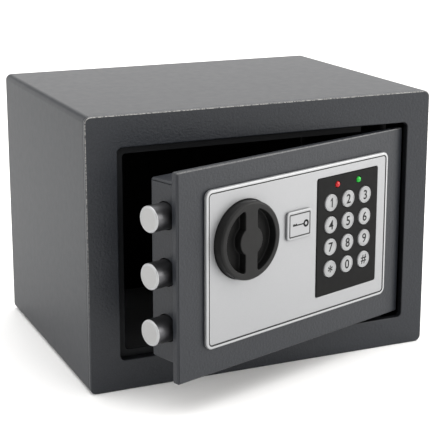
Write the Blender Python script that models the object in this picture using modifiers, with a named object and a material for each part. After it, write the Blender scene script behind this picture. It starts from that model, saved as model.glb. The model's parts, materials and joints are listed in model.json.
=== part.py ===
"""Small electronic room safe: steel cabinet, hinged door, keypad, knob-driven bolts and key override.

Lengths are in metres. Inside the script, x runs across the front, y is the depth behind the
cabinet's front face and z is the height above its underside. The door is modelled closed, and its
hinge empty then swings it ajar. The root empty puts the origin at the centre of the underside.
"""

import math

import bmesh
import bpy
from mathutils import Matrix, Vector

MM = 0.001
GAP = 0.3 * MM

# Cabinet
CABINET_WIDTH = 230.0 * MM
CABINET_HEIGHT = 168.5 * MM
CABINET_DEPTH = 172.5 * MM
SHEET = 2.0 * MM
BEND_RADIUS = 4.0 * MM
FRAME_THICKNESS = 3.0 * MM
FRAME_RETURN = 4.5 * MM
RETURN_WALL = 1.6 * MM
OPENING_LEFT, OPENING_RIGHT = -95.5 * MM, 99.0 * MM
OPENING_BOTTOM, OPENING_TOP = 19.2 * MM, 149.0 * MM
OPENING_RADIUS = 3.0 * MM
STOP_INSET = 4.4 * MM
STOP_THICKNESS = 1.0 * MM
MAT_THICKNESS = 1.5 * MM
ANCHOR_RADIUS = 5.0 * MM
FLOOR_ANCHOR_SPACING = 80.0 * MM
REAR_ANCHOR_SPACING = 110.0 * MM

# Door
DOOR_THICKNESS = 4.5 * MM
DOOR_WIDTH = 189.5 * MM
DOOR_BOTTOM, DOOR_TOP = 22.2 * MM, 145.2 * MM
DOOR_RIGHT = OPENING_RIGHT - 2.75 * MM
DOOR_LEFT = DOOR_RIGHT - DOOR_WIDTH
HINGE_X = OPENING_RIGHT - 14.0 * MM
HINGE_Y = 7.5 * MM
HINGE_PIN_RADIUS = 2.5 * MM
REST_ANGLE = math.radians(18.5)
BOX_LEFT, BOX_RIGHT = -89.6 * MM, 91.0 * MM
BOX_BOTTOM, BOX_TOP = 32.1 * MM, 138.0 * MM
BOX_FRONT, BOX_REAR = DOOR_THICKNESS + GAP, 26.5 * MM
BOX_WALL = 1.5 * MM
BOX_FLANGE = 8.0 * MM
COVER_THICKNESS = 1.0 * MM

# Fascia and keypad
FASCIA_LEFT, FASCIA_RIGHT = -73.5 * MM, 80.5 * MM
FASCIA_BOTTOM, FASCIA_TOP = 38.3 * MM, 132.2 * MM
FASCIA_FRONT = -2.3 * MM
KEYPAD_CENTRE = (43.25 * MM, 87.05 * MM)
KEYPAD_WIDTH, KEYPAD_HEIGHT = 54.4 * MM, 74.3 * MM
KEY_RADIUS = 5.3 * MM
KEY_HEIGHT = 1.9 * MM
KEY_PITCH_X, KEY_PITCH_Z = 15.35 * MM, 14.0 * MM
KEY_NAMES = ("1", "2", "3", "4", "5", "6", "7", "8", "9", "star", "0", "hash")
FIRST_KEY = (27.75 * MM, 108.1 * MM)
LED_RADIUS = 1.9 * MM
LED_HEIGHT = 118.6 * MM

# Knob and bolt work
KNOB_CENTRE = (-44.15 * MM, 99.1 * MM)
KNOB_RADIUS = 23.2 * MM
KNOB_FRONT = -8.3 * MM
POCKET_RADIUS = 19.3 * MM
POCKET_DEPTH = 5.4 * MM
GRIP_HALF_WIDTH = 4.7 * MM
GRIP_BOSS_RADIUS = 8.7 * MM
SHAFT_RADIUS = 3.8 * MM
BOLT_TRAVEL = 12.2 * MM
CRANK_RADIUS = BOLT_TRAVEL / math.sqrt(2)
CRANK_PIN_RADIUS = 2.0 * MM
SLOT_HALF_WIDTH = 2.6 * MM
BOLT_RADIUS = 7.7 * MM
BOLT_DEPTH = 13.8 * MM
BOLT_HEIGHTS = {"lower": 52.1 * MM, "middle": 85.1 * MM, "upper": 118.1 * MM}
BOLT_TIP = DOOR_LEFT - 8.8 * MM
BOLT_LENGTH = 36.0 * MM
CARRIAGE_FRONT, CARRIAGE_REAR = 16.6 * MM, 18.6 * MM

# Key override, solenoid and battery pack
LOCK_CENTRE = (-0.45 * MM, 99.9 * MM)
LOCK_COVER_WIDTH, LOCK_COVER_HEIGHT = 21.0 * MM, 17.6 * MM
LOCK_COVER_FRONT = -3.9 * MM
BARREL_RADIUS = 8.0 * MM
BARREL_FRONT, PLUG_REAR = -2.0 * MM, 20.5 * MM
PLUG_RADIUS = 5.3 * MM
CAM_REACH = 39.5 * MM
CAM_REST_ANGLE = 118.3
SOLENOID_X, SOLENOID_Y = -36.0 * MM, 17.4 * MM
COIL_BOTTOM, COIL_TOP = 54.0 * MM, 78.0 * MM
PLUNGER_BOTTOM, PLUNGER_TOP = 64.0 * MM, 84.0 * MM
PLUNGER_RADIUS, COLLAR_RADIUS = 3.0 * MM, 5.0 * MM
COLLAR_HEIGHT = COIL_TOP + 0.6 * MM
RESET_BUTTON = (-12.0 * MM, 46.3 * MM)
CELL_LENGTH, CELL_RADIUS = 50.5 * MM, 7.1 * MM
PACK_CENTRE = (46.5 * MM, 85.0 * MM)
PACK_WIDTH, PACK_HEIGHT = 60.0 * MM, 64.0 * MM

PARTS = bpy.data.collections.new("room_safe")
CUTTERS = bpy.data.collections.new("cutters")
AXIS_TURNS = {
    "X": Matrix(((0, 0, 1), (1, 0, 0), (0, 1, 0))).to_4x4(),
    "Y": Matrix(((1, 0, 0), (0, 0, -1), (0, 1, 0))).to_4x4(),
    "Z": Matrix.Identity(4),
}


# ---------------------------------------------------------------- materials


def paint(name, colour, roughness, metallic=0.0):
    """A Principled material."""
    material = bpy.data.materials.new(name)
    material.use_nodes = True
    shader = material.node_tree.nodes["Principled BSDF"]
    shader.inputs["Base Color"].default_value = (*colour, 1.0)
    shader.inputs["Roughness"].default_value = roughness
    shader.inputs["Metallic"].default_value = metallic
    material.diffuse_color = (*colour, 1.0)
    return material


def make_materials():
    return {
        "charcoal_paint": paint("charcoal_paint", (0.085, 0.09, 0.097), 0.55, 0.1),
        "black_steel": paint("black_steel", (0.03, 0.031, 0.033), 0.5, 0.4),
        "satin_silver": paint("satin_silver", (0.62, 0.62, 0.62), 0.35, 0.8),
        "bright_steel": paint("bright_steel", (0.72, 0.72, 0.72), 0.22, 1.0),
        "zinc_steel": paint("zinc_steel", (0.5, 0.51, 0.53), 0.38, 0.9),
        "brass": paint("brass", (0.66, 0.5, 0.22), 0.3, 0.95),
        "black_plastic": paint("black_plastic", (0.022, 0.022, 0.023), 0.42),
        "key_silver": paint("key_silver", (0.62, 0.62, 0.61), 0.38, 0.3),
        "black_felt": paint("black_felt", (0.02, 0.02, 0.021), 0.95),
        "red_lens": paint("red_lens", (0.75, 0.02, 0.03), 0.2),
        "green_lens": paint("green_lens", (0.02, 0.6, 0.08), 0.2),
        "circuit_green": paint("circuit_green", (0.02, 0.16, 0.07), 0.45),
        "cell_wrap": paint("cell_wrap", (0.1, 0.12, 0.16), 0.35),
        "red_plastic": paint("red_plastic", (0.5, 0.03, 0.03), 0.4),
    }


# ---------------------------------------------------------------- outlines


def circle(radius, centre=(0, 0), sides=24):
    turns = [2 * math.pi * side / sides for side in range(sides)]
    return [(centre[0] + radius * math.cos(t), centre[1] + radius * math.sin(t)) for t in turns]


def arc(centre, radius, start, end, steps):
    """Points along an arc; the angles are in degrees."""
    angles = [math.radians(start + (end - start) * step / steps) for step in range(steps + 1)]
    return [(centre[0] + radius * math.cos(a), centre[1] + radius * math.sin(a)) for a in angles]


def rounded_rectangle(left, right, bottom, top, radius, steps=4):
    points = []
    corners = ((right, top), (left, top), (left, bottom), (right, bottom))
    for quarter, (x, z) in enumerate(corners):
        inward = (-1 if x == right else 1, -1 if z == top else 1)
        centre = (x + inward[0] * radius, z + inward[1] * radius)
        points += arc(centre, radius, 90 * quarter, 90 * quarter + 90, steps)
    return points


def centred_rectangle(width, height, radius, centre=(0, 0), steps=3):
    x, z = centre
    return rounded_rectangle(
        x - width / 2, x + width / 2, z - height / 2, z + height / 2, radius, steps
    )


def mirrored(points):
    """The outline turned over left to right."""
    return [(-x, z) for x, z in points]


# ---------------------------------------------------------------- solids


def add(obj, material, parent):
    if material:
        obj.data.materials.append(material)
    PARTS.objects.link(obj)
    obj.parent = parent
    return obj


def plate(name, outlines, axis, start, end, material, parent, origin=(0, 0)):
    """A flat outline, with any further outlines as holes, made solid from start to end along axis.

    The outlines are seen along the axis and run from origin: (y, z) for X, (x, z) for Y, (x, y) for Z.
    """
    curve = bpy.data.curves.new(name, "CURVE")
    curve.dimensions = "2D"
    curve.fill_mode = "BOTH"
    curve.extrude = abs(end - start) / 2
    for points in outlines:
        spline = curve.splines.new("POLY")
        spline.points.add(len(points) - 1)
        for point, (u, v) in zip(spline.points, points):
            point.co = (u, v, 0, 1)
        spline.use_cyclic_u = True
    drawn = bpy.data.objects.new(name + "_outline", curve)
    bpy.context.scene.collection.objects.link(drawn)
    graph = bpy.context.evaluated_depsgraph_get()
    mesh = bpy.data.meshes.new_from_object(drawn.evaluated_get(graph))
    bpy.data.objects.remove(drawn)
    bpy.data.curves.remove(curve)

    middle = (start + end) / 2
    place = {
        "X": Vector((middle, origin[0], origin[1])),
        "Y": Vector((origin[0], middle, origin[1])),
        "Z": Vector((origin[0], origin[1], middle)),
    }[axis]
    work = bmesh.new()
    work.from_mesh(mesh)
    bmesh.ops.remove_doubles(work, verts=work.verts, dist=1e-6)
    work.transform(AXIS_TURNS[axis])
    bmesh.ops.recalc_face_normals(work, faces=work.faces)
    work.to_mesh(mesh)
    work.free()
    mesh.name = name
    obj = bpy.data.objects.new(name, mesh)
    obj.location = place
    return add(obj, material, parent)


def box(name, low, high, material, parent, bevel=0.0):
    """A block between two corners, with its edges rounded by bevel."""
    work = bmesh.new()
    bmesh.ops.create_cube(work, size=1.0)
    size = [b - a for a, b in zip(low, high)]
    bmesh.ops.scale(work, vec=size, verts=work.verts)
    mesh = bpy.data.meshes.new(name)
    work.to_mesh(mesh)
    work.free()
    obj = bpy.data.objects.new(name, mesh)
    obj.location = [(a + b) / 2 for a, b in zip(low, high)]
    if bevel:
        modifier = obj.modifiers.new("round_edges", "BEVEL")
        modifier.width = bevel
        modifier.segments = 2
    return add(obj, material, parent)


def turned(name, profile, axis, base, material, parent, sides=24):
    """A turned piece: profile lists (radius, distance along axis), from the far end to the base."""
    mesh = bpy.data.meshes.new(name)
    points = [(radius, 0, along) for radius, along in profile]
    mesh.from_pydata(points, [(i, i + 1) for i in range(len(points) - 1)], [])
    obj = bpy.data.objects.new(name, mesh)
    modifier = obj.modifiers.new("turn", "SCREW")
    modifier.axis = "Z"
    modifier.steps = modifier.render_steps = sides
    modifier.use_merge_vertices = True
    modifier.merge_threshold = 1e-6
    modifier.use_smooth_shade = True
    obj.location = base
    directions = {"+X": (1, 0, 0), "-X": (-1, 0, 0), "+Y": (0, 1, 0), "-Y": (0, -1, 0), "+Z": (0, 0, 1)}
    obj.rotation_euler = Vector(directions[axis]).to_track_quat("Z", "X").to_euler()
    return add(obj, material, parent)


def rod(name, radius, length, axis, base, material, parent, chamfer=0.0, sides=24):
    """A round bar from base along axis, with its far end chamfered."""
    profile = [(0, length), (radius - chamfer, length)]
    if chamfer:
        profile.append((radius, length - chamfer))
    profile += [(radius, 0), (0, 0)]
    return turned(name, profile, axis, base, material, parent, sides)


def combine(target, tool, operation):
    """Joins or cuts target with tool, which becomes a hidden helper."""
    modifier = target.modifiers.new(tool.name, "BOOLEAN")
    modifier.operation = operation
    modifier.object = tool
    PARTS.objects.unlink(tool)
    CUTTERS.objects.link(tool)
    tool.hide_render = True
    tool.display_type = "WIRE"
    return target


def cut(target, tool):
    return combine(target, tool, "DIFFERENCE")


def join(target, tool):
    return combine(target, tool, "UNION")


def pivot(name, location, parent):
    """An empty that marks a joint's axis or a frame."""
    empty = bpy.data.objects.new(name, None)
    empty.location = location
    empty.empty_display_size = 0.01
    PARTS.objects.link(empty)
    empty.parent = parent
    return empty


# ---------------------------------------------------------------- cabinet


def make_shell(paints, root):
    """Top, sides and floor folded from one sheet, open at both ends."""
    half = CABINET_WIDTH / 2
    outer = rounded_rectangle(-half, half, 0, CABINET_HEIGHT, BEND_RADIUS, 5)
    inner = rounded_rectangle(
        -half + SHEET, half - SHEET, SHEET, CABINET_HEIGHT - SHEET, BEND_RADIUS - SHEET, 5
    )
    front = FRAME_THICKNESS + GAP
    shell = plate("cabinet_shell", [outer, inner], "Y", front, CABINET_DEPTH,
                  paints["charcoal_paint"], root)
    for side in (-1, 1):
        hole = (side * FLOOR_ANCHOR_SPACING / 2, CABINET_DEPTH / 2)
        cut(shell, plate(f"floor_anchor_cutter_{side}", [circle(ANCHOR_RADIUS, hole, 16)], "Z",
                         -SHEET, 2 * SHEET, None, root))
    return shell


def make_front_frame(paints, root):
    """Front plate with the door opening, whose edge turns back into a short return."""
    half = CABINET_WIDTH / 2
    opening = (OPENING_LEFT, OPENING_RIGHT, OPENING_BOTTOM, OPENING_TOP)
    face = rounded_rectangle(-half, half, 0, CABINET_HEIGHT, BEND_RADIUS, 5)
    hole = rounded_rectangle(*opening, OPENING_RADIUS)
    frame = plate("front_frame", [face, hole], "Y", 0, FRAME_THICKNESS, paints["charcoal_paint"], root)
    outer = rounded_rectangle(
        OPENING_LEFT - RETURN_WALL, OPENING_RIGHT + RETURN_WALL,
        OPENING_BOTTOM - RETURN_WALL, OPENING_TOP + RETURN_WALL, OPENING_RADIUS + RETURN_WALL,
    )
    lip = plate("opening_return", [outer, hole], "Y", FRAME_THICKNESS - 1 * MM, FRAME_RETURN, None, root)
    join(frame, lip)
    return frame


def make_door_stop(paints, root):
    """Thin C-shaped strip behind the opening that the closed door rests on; open at the hinge side."""
    y = FRAME_RETURN + GAP
    reach = 5.0 * MM
    end = HINGE_X - 17.0 * MM
    outer_left, inner_left = OPENING_LEFT - reach, OPENING_LEFT + STOP_INSET
    low, high = OPENING_BOTTOM - reach, OPENING_TOP + reach
    inner_low, inner_high = OPENING_BOTTOM + STOP_INSET, OPENING_TOP - STOP_INSET
    bend = 2.0 * MM
    outline = [(end, low), (end, inner_low)]
    outline += arc((inner_left + bend, inner_low + bend), bend, 270, 180, 4)
    outline += arc((inner_left + bend, inner_high - bend), bend, 180, 90, 4)
    outline += [(end, inner_high), (end, high), (outer_left, high), (outer_left, low)]
    plate("door_stop", [outline], "Y", y, y + STOP_THICKNESS, paints["charcoal_paint"], root)


def make_rear_panel(paints, root):
    inset = SHEET + GAP
    half = CABINET_WIDTH / 2 - inset
    edge = rounded_rectangle(-half, half, inset, CABINET_HEIGHT - inset, BEND_RADIUS - inset)
    middle = CABINET_HEIGHT / 2
    holes = [circle(ANCHOR_RADIUS, (side * REAR_ANCHOR_SPACING / 2, middle), 16) for side in (-1, 1)]
    plate("rear_panel", [edge] + holes, "Y", CABINET_DEPTH - 1.5 * MM, CABINET_DEPTH,
          paints["charcoal_paint"], root)


def make_floor_mat(paints, root):
    half = CABINET_WIDTH / 2 - SHEET - 1.5 * MM
    outline = rounded_rectangle(-half, half, 8 * MM, CABINET_DEPTH - 4 * MM, 3 * MM)
    centres = [(side * FLOOR_ANCHOR_SPACING / 2, CABINET_DEPTH / 2) for side in (-1, 1)]
    holes = [circle(ANCHOR_RADIUS + 1.5 * MM, centre, 16) for centre in centres]
    low = SHEET + GAP
    plate("floor_mat", [outline] + holes, "Z", low, low + MAT_THICKNESS, paints["black_felt"], root)


def make_hinge_bracket(name, leaf, outward, paints, root):
    """Angle bracket behind the front plate; its level leaf holds the hinge pin's end."""
    thick = 2.0 * MM
    front = FRAME_THICKNESS + GAP
    rear = HINGE_Y + 9.0 * MM
    tall = 11.0 * MM
    outline = [
        (front, leaf), (rear, leaf), (rear, leaf + outward * thick),
        (front + thick, leaf + outward * thick), (front + thick, leaf + outward * tall),
        (front, leaf + outward * tall),
    ]
    half = 9.0 * MM
    bracket = plate(name, [outline], "X", HINGE_X - half, HINGE_X + half, paints["black_steel"], root)
    low, high = sorted((leaf - outward * thick, leaf + 2 * outward * thick))
    hole = circle(HINGE_PIN_RADIUS + 0.35 * MM, (HINGE_X, HINGE_Y), 20)
    cut(bracket, plate(name + "_cutter", [hole], "Z", low, high, None, root))


def make_cabinet(paints, root):
    make_shell(paints, root)
    make_front_frame(paints, root)
    make_door_stop(paints, root)
    make_rear_panel(paints, root)
    make_floor_mat(paints, root)
    clear = RETURN_WALL + 0.5 * MM
    make_hinge_bracket("hinge_bracket_upper", OPENING_TOP + clear, 1, paints, root)
    make_hinge_bracket("hinge_bracket_lower", OPENING_BOTTOM - clear, -1, paints, root)


# ---------------------------------------------------------------- door


def make_door_plate(paints, door):
    edge = rounded_rectangle(DOOR_LEFT, DOOR_RIGHT, DOOR_BOTTOM, DOOR_TOP, 1.2 * MM, 3)
    holes = [
        circle(6.4 * MM, KNOB_CENTRE),
        circle(BARREL_RADIUS + 0.4 * MM, LOCK_CENTRE),
        circle(4.0 * MM, KEYPAD_CENTRE, 16),
    ]
    plate("door_plate", [edge] + holes, "Y", 0, DOOR_THICKNESS, paints["charcoal_paint"], door)


def screw_places():
    x = BOX_RIGHT - BOX_WALL - BOX_FLANGE / 2
    left = BOX_LEFT + BOX_WALL + BOX_FLANGE / 2
    z = 5.5 * MM
    return [(px, pz) for px in (left, x) for pz in (BOX_BOTTOM + z, BOX_TOP - z)]


def make_door_box(paints, door):
    """Folded box behind the door plate, with a flange round its rear for the inner cover."""
    outer = rounded_rectangle(BOX_LEFT, BOX_RIGHT, BOX_BOTTOM, BOX_TOP, 1.6 * MM, 3)
    edges = (BOX_LEFT + BOX_WALL, BOX_RIGHT - BOX_WALL, BOX_BOTTOM + BOX_WALL, BOX_TOP - BOX_WALL)
    inner = rounded_rectangle(*edges, 0.8 * MM, 2)
    steel = paints["charcoal_paint"]
    shell = plate("door_box", [outer, inner], "Y", BOX_FRONT, BOX_REAR, steel, door)
    window = rounded_rectangle(
        edges[0] + BOX_FLANGE, edges[1] - BOX_FLANGE, edges[2] + BOX_FLANGE, edges[3] - BOX_FLANGE, 2 * MM
    )
    over = 0.5 * BOX_WALL
    rim = rounded_rectangle(
        edges[0] - over, edges[1] + over, edges[2] - over, edges[3] + over, 1.0 * MM, 2
    )
    holes = [circle(1.9 * MM, place, 12) for place in screw_places()]
    join(shell, plate("box_flange", [rim, window] + holes, "Y", BOX_REAR - BOX_WALL, BOX_REAR, None, door))
    for name, height in BOLT_HEIGHTS.items():
        hole = circle(BOLT_RADIUS + 0.6 * MM, (BOLT_DEPTH, height))
        cut(shell, plate(f"bolt_hole_cutter_{name}", [hole], "X", BOX_LEFT - 2 * MM, BOX_LEFT + 3 * MM,
                         None, door))
    for name, height in (("upper", BOX_TOP), ("lower", BOX_BOTTOM)):
        hole = circle(HINGE_PIN_RADIUS + 0.35 * MM, (HINGE_X, HINGE_Y), 20)
        cut(shell, plate(f"pin_hole_cutter_{name}", [hole], "Z", height - 3 * MM, height + 3 * MM,
                         None, door))


def make_hinge_pins(paints, door):
    length = 23.0 * MM
    top = OPENING_TOP + 5.0 * MM
    bottom = OPENING_BOTTOM - 5.0 * MM
    for name, base in (("upper", top - length), ("lower", bottom)):
        profile = [(0, length), (2.0 * MM, length), (HINGE_PIN_RADIUS, length - 0.5 * MM),
                   (HINGE_PIN_RADIUS, 0.5 * MM), (2.0 * MM, 0), (0, 0)]
        turned(f"hinge_pin_{name}", profile, "+Z", (HINGE_X, HINGE_Y, base), paints["zinc_steel"], door, 20)


def key_places():
    """Each key's name with its centre, row by row from the top left."""
    places = {}
    for number, name in enumerate(KEY_NAMES):
        row, column = divmod(number, 3)
        places[name] = (FIRST_KEY[0] + column * KEY_PITCH_X, FIRST_KEY[1] - row * KEY_PITCH_Z)
    return places


def led_places():
    reach = 9.55 * MM
    middle = FIRST_KEY[0] + KEY_PITCH_X
    return {"red": (middle - reach, LED_HEIGHT), "green": (middle + reach, LED_HEIGHT)}


def make_fascia(paints, door):
    """Silver fascia plate with openings for the knob, the keypad and the lock barrel."""
    edge = rounded_rectangle(FASCIA_LEFT, FASCIA_RIGHT, FASCIA_BOTTOM, FASCIA_TOP, 4.5 * MM, 5)
    room = 0.7 * MM
    holes = [
        circle(KNOB_RADIUS + 0.5 * MM, KNOB_CENTRE, 48),
        circle(BARREL_RADIUS + 0.4 * MM, LOCK_CENTRE),
        centred_rectangle(KEYPAD_WIDTH + room, KEYPAD_HEIGHT + room, 1.5 * MM, KEYPAD_CENTRE),
    ]
    plate("fascia_panel", [edge] + holes, "Y", FASCIA_FRONT, -GAP, paints["satin_silver"], door)


def make_keypad(paints, door):
    """Black keypad panel, its two indicator lamps and its twelve sprung keys."""
    front, back = FASCIA_FRONT - 0.3 * MM, -GAP
    edge = centred_rectangle(KEYPAD_WIDTH, KEYPAD_HEIGHT, 1.2 * MM, KEYPAD_CENTRE)
    holes = [circle(KEY_RADIUS + 0.35 * MM, place, 20) for place in key_places().values()]
    holes += [circle(LED_RADIUS + 0.3 * MM, place, 12) for place in led_places().values()]
    plate("keypad_panel", [edge] + holes, "Y", front, back, paints["black_plastic"], door)
    for colour, (x, z) in led_places().items():
        dome = [(0, 3.2 * MM), (LED_RADIUS * 0.6, 3.0 * MM), (LED_RADIUS, 2.5 * MM),
                (LED_RADIUS, 0), (0, 0)]
        turned(f"led_{colour}", dome, "-Y", (x, -GAP, z), paints[f"{colour}_lens"], door, 12)
    for name, (x, z) in key_places().items():
        cap = [(0, KEY_HEIGHT), (KEY_RADIUS - 0.4 * MM, KEY_HEIGHT), (KEY_RADIUS, KEY_HEIGHT - 0.4 * MM),
               (KEY_RADIUS, 0), (0, 0)]
        turned(f"key_{name}", cap, "-Y", (x, -1.3 * MM, z), paints["key_silver"], door, 20)


def make_key_lock(paints, door):
    """Emergency lock: fixed barrel and nut, turning plug and cam, and a cover that pulls off."""
    x, z = LOCK_CENTRE
    steel = paints["zinc_steel"]
    ring = [circle(BARREL_RADIUS), circle(PLUG_RADIUS + GAP)]
    plate("lock_barrel", ring, "Y", BARREL_FRONT, 17.0 * MM, steel, door, LOCK_CENTRE)
    nut = [circle(12.5 * MM, sides=6), circle(BARREL_RADIUS + GAP)]
    plate("lock_nut", nut, "Y", BOX_FRONT, BOX_FRONT + 4 * MM, steel, door, LOCK_CENTRE)

    axis = pivot("lock_plug_axis", (x, 0, z), door)
    plug = rod("lock_plug", PLUG_RADIUS, PLUG_REAR - BARREL_FRONT, "+Y", (0, BARREL_FRONT, 0),
               paints["brass"], axis)
    keyway = rounded_rectangle(-0.7 * MM, 0.7 * MM, -3.4 * MM, 3.4 * MM, 0.3 * MM, 2)
    cut(plug, plate("keyway_cutter", [keyway], "Y", BARREL_FRONT - 1 * MM, 10 * MM, None, axis))
    hub, half = 7.0 * MM, 2.5 * MM
    blend = math.degrees(math.asin(half / hub))
    arm = arc((0, 0), hub, blend, 360 - blend, 20) + arc((CAM_REACH - half, 0), half, -90, 90, 6)
    tilt = Matrix.Rotation(math.radians(CAM_REST_ANGLE), 2)
    outline = [tuple(tilt @ Vector(point)) for point in arm]
    plate("lock_cam", [outline], "Y", PLUG_REAR + GAP, PLUG_REAR + GAP + 2 * MM, steel, axis)

    low = (x - LOCK_COVER_WIDTH / 2, LOCK_COVER_FRONT, z - LOCK_COVER_HEIGHT / 2)
    high = (x + LOCK_COVER_WIDTH / 2, FASCIA_FRONT - GAP, z + LOCK_COVER_HEIGHT / 2)
    box("lock_cover", low, high, paints["satin_silver"], door, 0.7 * MM)


def pocket_outline():
    """The left finger pocket: inside the rim, clear of the upright grip and its round boss."""
    half, boss, rim = GRIP_HALF_WIDTH, GRIP_BOSS_RADIUS, POCKET_RADIUS
    rim_angle = math.degrees(math.acos(half / rim))
    boss_angle = math.degrees(math.acos(half / boss))
    points = arc((0, 0), rim, 180 - rim_angle, 180 + rim_angle, 20)
    points += arc((0, 0), boss, 180 + boss_angle, 180 - boss_angle, 12)
    return points


def make_knob(paints, door):
    """Round knob with two finger pockets, its shaft and bush, and the crank that drives the bolts."""
    axis = pivot("knob_axis", (KNOB_CENTRE[0], 0, KNOB_CENTRE[1]), door)
    back = -0.6 * MM
    thick = back - KNOB_FRONT
    edge = 0.8 * MM
    profile = [(0, thick), (KNOB_RADIUS - edge, thick), (KNOB_RADIUS, thick - edge),
               (KNOB_RADIUS, 0), (0, 0)]
    knob = turned("knob", profile, "-Y", (0, back, 0), paints["black_plastic"], axis, 48)
    for side, outline in (("left", pocket_outline()), ("right", mirrored(pocket_outline()))):
        cut(knob, plate(f"pocket_cutter_{side}", [outline], "Y", KNOB_FRONT - 1 * MM,
                        KNOB_FRONT + POCKET_DEPTH, None, axis))

    crank_front, crank_rear = 13.7 * MM, 15.7 * MM
    shaft_front = back + GAP
    rod("knob_shaft", SHAFT_RADIUS, crank_rear - shaft_front, "+Y", (0, shaft_front, 0),
        paints["zinc_steel"], axis)
    bush = [circle(6.0 * MM), circle(SHAFT_RADIUS + 0.3 * MM)]
    plate("shaft_bush", bush, "Y", -GAP, 9 * MM, paints["brass"], door, KNOB_CENTRE)

    pin = (-CRANK_RADIUS / math.sqrt(2), CRANK_RADIUS / math.sqrt(2))
    hub, tip = 6.6 * MM, 3.6 * MM
    outline = arc((0, 0), hub, 190, 440, 16) + arc(pin, tip, 60, 210, 10)
    crank = plate("crank_arm", [outline, circle(SHAFT_RADIUS + GAP)], "Y", crank_front, crank_rear,
                  paints["zinc_steel"], axis)
    join(crank, rod("crank_pin", CRANK_PIN_RADIUS, 4.8 * MM, "+Y",
                    (pin[0], crank_rear - 1 * MM, pin[1]), None, axis, sides=16))


def make_bolt_work(paints, door):
    """Three bolts on one carriage, which the crank pin slides through its upright slot."""
    steel = paints["zinc_steel"]
    bolt_end = BOLT_TIP + BOLT_LENGTH
    for name, height in BOLT_HEIGHTS.items():
        rod(f"bolt_{name}", BOLT_RADIUS, BOLT_LENGTH, "-X", (bolt_end, BOLT_DEPTH, height),
            paints["bright_steel"], door, 0.6 * MM, 28)
    left = bolt_end + GAP
    knob_x, knob_z = KNOB_CENTRE
    low, high = BOLT_HEIGHTS["lower"] - 8 * MM, BOLT_HEIGHTS["upper"] + 8 * MM
    arm_low, arm_high = PLUNGER_TOP + 0.5 * MM, knob_z + 15 * MM
    arm_right = SOLENOID_X + 8 * MM
    spine = left + 7 * MM
    outline = [(left, low), (spine, low), (spine, arm_low), (arm_right, arm_low)]
    outline += [(arm_right, arm_high), (spine, arm_high), (spine, high), (left, high)]
    slot_x = knob_x - CRANK_RADIUS / math.sqrt(2)
    slot_low = knob_z + CRANK_RADIUS / math.sqrt(2) - CRANK_PIN_RADIUS - 0.6 * MM
    slot_high = knob_z + CRANK_RADIUS + CRANK_PIN_RADIUS + 0.6 * MM
    slot = rounded_rectangle(
        slot_x - SLOT_HALF_WIDTH, slot_x + SLOT_HALF_WIDTH, slot_low, slot_high, 1 * MM, 2
    )
    carriage = plate("bolt_carriage", [outline, slot], "Y", CARRIAGE_FRONT, CARRIAGE_REAR, steel, door)
    flange = box("carriage_flange", (left, BOLT_DEPTH - 6 * MM, low), (left + 2 * MM, CARRIAGE_REAR, high),
                 None, door)
    join(carriage, flange)
    notch = box("notch_cutter", (SOLENOID_X - 4 * MM, CARRIAGE_FRONT - 1 * MM, arm_low - 1 * MM),
                (SOLENOID_X + 4 * MM, CARRIAGE_REAR + 1 * MM, arm_low + 5 * MM), None, door)
    cut(carriage, notch)
    for name, edge, side in (("upper", high, 1), ("lower", low, -1)):
        near, far = sorted((edge + side * 0.5 * MM, edge + side * 2.5 * MM))
        box(f"carriage_guide_{name}", (left - 2 * MM, BOX_FRONT, near), (left + 32 * MM, 21 * MM, far),
            steel, door)


def make_solenoid(paints, door):
    """Blocking solenoid: its plunger rises into the carriage's notch when the coil is off."""
    steel = paints["zinc_steel"]
    half_width, half_depth = 9.0 * MM, 6.3 * MM
    left, right = SOLENOID_X - half_width, SOLENOID_X + half_width
    coil = box("solenoid_coil", (left, SOLENOID_Y - half_depth, COIL_BOTTOM),
               (right, SOLENOID_Y + half_depth, COIL_TOP), steel, door, 0.6 * MM)
    cut(coil, rod("coil_bore", PLUNGER_RADIUS + GAP, 22 * MM, "+Z",
                  (SOLENOID_X, SOLENOID_Y, COIL_TOP - 20 * MM), None, door, sides=20))
    thick = 1.5 * MM
    shelf, rear, front = COIL_BOTTOM - GAP, SOLENOID_Y + 6 * MM, BOX_FRONT + thick
    outline = [(BOX_FRONT, shelf - thick), (rear, shelf - thick), (rear, shelf), (front, shelf),
               (front, COIL_TOP), (BOX_FRONT, COIL_TOP)]
    plate("solenoid_bracket", [outline], "X", left, right, steel, door)
    height = PLUNGER_TOP - PLUNGER_BOTTOM
    collar = COLLAR_HEIGHT - PLUNGER_BOTTOM
    chamfer = 0.4 * MM
    profile = [
        (0, height), (PLUNGER_RADIUS - chamfer, height), (PLUNGER_RADIUS, height - chamfer),
        (PLUNGER_RADIUS, collar + 1 * MM), (COLLAR_RADIUS, collar + 1 * MM), (COLLAR_RADIUS, collar),
        (PLUNGER_RADIUS, collar), (PLUNGER_RADIUS, 0), (0, 0),
    ]
    turned("solenoid_plunger", profile, "+Z", (SOLENOID_X, SOLENOID_Y, PLUNGER_BOTTOM),
           paints["bright_steel"], door, 20)


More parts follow.
